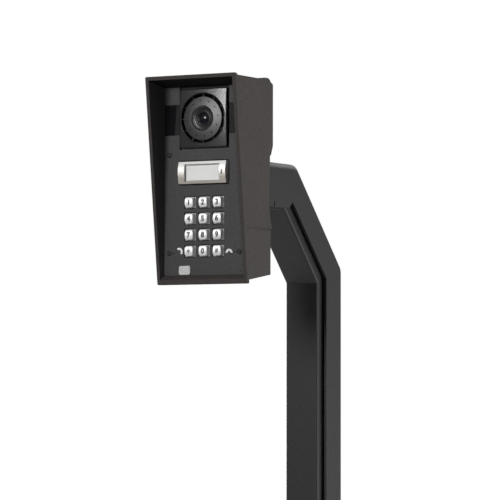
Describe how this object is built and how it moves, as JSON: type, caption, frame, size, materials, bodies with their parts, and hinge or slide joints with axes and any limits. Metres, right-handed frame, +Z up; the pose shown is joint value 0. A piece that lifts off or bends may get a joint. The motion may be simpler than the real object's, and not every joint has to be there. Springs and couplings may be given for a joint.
{
  "type": "gate intercom post",
  "caption": "Gooseneck intercom post: hooded door station with camera, call button and number pad on a cranked square post with a base plate.",
  "frame": {"origin": "centre of the base plate's anchor hole pattern, on the ground face", "axes": "+Z up the post, +Y away from the person who uses the station, which faces -Y; +X to that person's right"},
  "size_m": [0.24, 0.3848, 1.3034],
  "materials": {
    "cast_housing": "satin",
    "plate_coat": "satin",
    "post_coat": "satin",
    "smoked_plastic": "gloss",
    "block_plastic": "satin",
    "ring_plastic": "satin",
    "lens_black": "satin",
    "lens_glass": "polished",
    "clear_plastic": "gloss",
    "card": "matte",
    "chrome": "polished",
    "pale_metal": "satin",
    "steel": "satin",
    "board": "satin",
    "soft_rubber": "matte",
    "speaker_metal": "satin",
    "speaker_paper": "matte",
    "terminal_green": "satin"
  },
  "bodies": {
    "post": {"badge_plate": "pale_metal", "base_plate": "post_coat", "board_screws": "steel", "board_spacers": "steel", "cable_grommet": "soft_rubber", "camera_block": "block_plastic", "camera_board": "board", "camera_ring": "ring_plastic", "cover_bracket_1": "post_coat", "cover_bracket_2": "post_coat", "cover_bracket_3": "post_coat", "flange_bolts": "steel", "front_plate": "plate_coat", "head_flange": "post_coat", "housing": "cast_housing", "keypad_board": "board", "keypad_mat": "soft_rubber", "lens_barrel": "lens_black", "lens_glass": "lens_glass", "loudspeaker": "speaker_metal", "main_board": "board", "mic_boot": "soft_rubber", "microphone": "speaker_metal", "panel_gasket": "soft_rubber", "panel_screws": "steel", "post_channel": "post_coat", "post_cover": "post_coat", "smoked_window_left": "smoked_plastic", "smoked_window_right": "smoked_plastic", "speaker_cone": "speaker_paper", "status_lamp": "clear_plastic", "terminal_block": "terminal_green"},
    "call_button": {"call_button": "chrome", "label_window": "clear_plastic", "label_card": "card"},
    "key_1": {"key_1": "chrome"},
    "key_2": {"key_2": "chrome"},
    "key_3": {"key_3": "chrome"},
    "key_4": {"key_4": "chrome"},
    "key_5": {"key_5": "chrome"},
    "key_6": {"key_6": "chrome"},
    "key_7": {"key_7": "chrome"},
    "key_8": {"key_8": "chrome"},
    "key_9": {"key_9": "chrome"},
    "key_star": {"key_star": "chrome"},
    "key_0": {"key_0": "chrome"},
    "key_hash": {"key_hash": "chrome"}
  },
  "joints": [
    {"name": "key_1_press", "type": "slide", "parent": "post", "child": "key_1", "axis": [0, 1, 0], "range_m": [0, 0.001], "stiffness_N_per_m": 1500},
    {"name": "key_2_press", "type": "slide", "parent": "post", "child": "key_2", "axis": [0, 1, 0], "range_m": [0, 0.001], "stiffness_N_per_m": 1500},
    {"name": "key_3_press", "type": "slide", "parent": "post", "child": "key_3", "axis": [0, 1, 0], "range_m": [0, 0.001], "stiffness_N_per_m": 1500},
    {"name": "key_4_press", "type": "slide", "parent": "post", "child": "key_4", "axis": [0, 1, 0], "range_m": [0, 0.001], "stiffness_N_per_m": 1500},
    {"name": "key_5_press", "type": "slide", "parent": "post", "child": "key_5", "axis": [0, 1, 0], "range_m": [0, 0.001], "stiffness_N_per_m": 1500},
    {"name": "key_6_press", "type": "slide", "parent": "post", "child": "key_6", "axis": [0, 1, 0], "range_m": [0, 0.001], "stiffness_N_per_m": 1500},
    {"name": "key_7_press", "type": "slide", "parent": "post", "child": "key_7", "axis": [0, 1, 0], "range_m": [0, 0.001], "stiffness_N_per_m": 1500},
    {"name": "key_8_press", "type": "slide", "parent": "post", "child": "key_8", "axis": [0, 1, 0], "range_m": [0, 0.001], "stiffness_N_per_m": 1500},
    {"name": "key_9_press", "type": "slide", "parent": "post", "child": "key_9", "axis": [0, 1, 0], "range_m": [0, 0.001], "stiffness_N_per_m": 1500},
    {"name": "key_star_press", "type": "slide", "parent": "post", "child": "key_star", "axis": [0, 1, 0], "range_m": [0, 0.001], "stiffness_N_per_m": 1500},
    {"name": "key_0_press", "type": "slide", "parent": "post", "child": "key_0", "axis": [0, 1, 0], "range_m": [0, 0.001], "stiffness_N_per_m": 1500},
    {"name": "key_hash_press", "type": "slide", "parent": "post", "child": "key_hash", "axis": [0, 1, 0], "range_m": [0, 0.001], "stiffness_N_per_m": 1500},
    {"name": "call_button_press", "type": "slide", "parent": "post", "child": "call_button", "axis": [0, 1, 0], "range_m": [0, 0.0008], "stiffness_N_per_m": 3000}
  ]
}
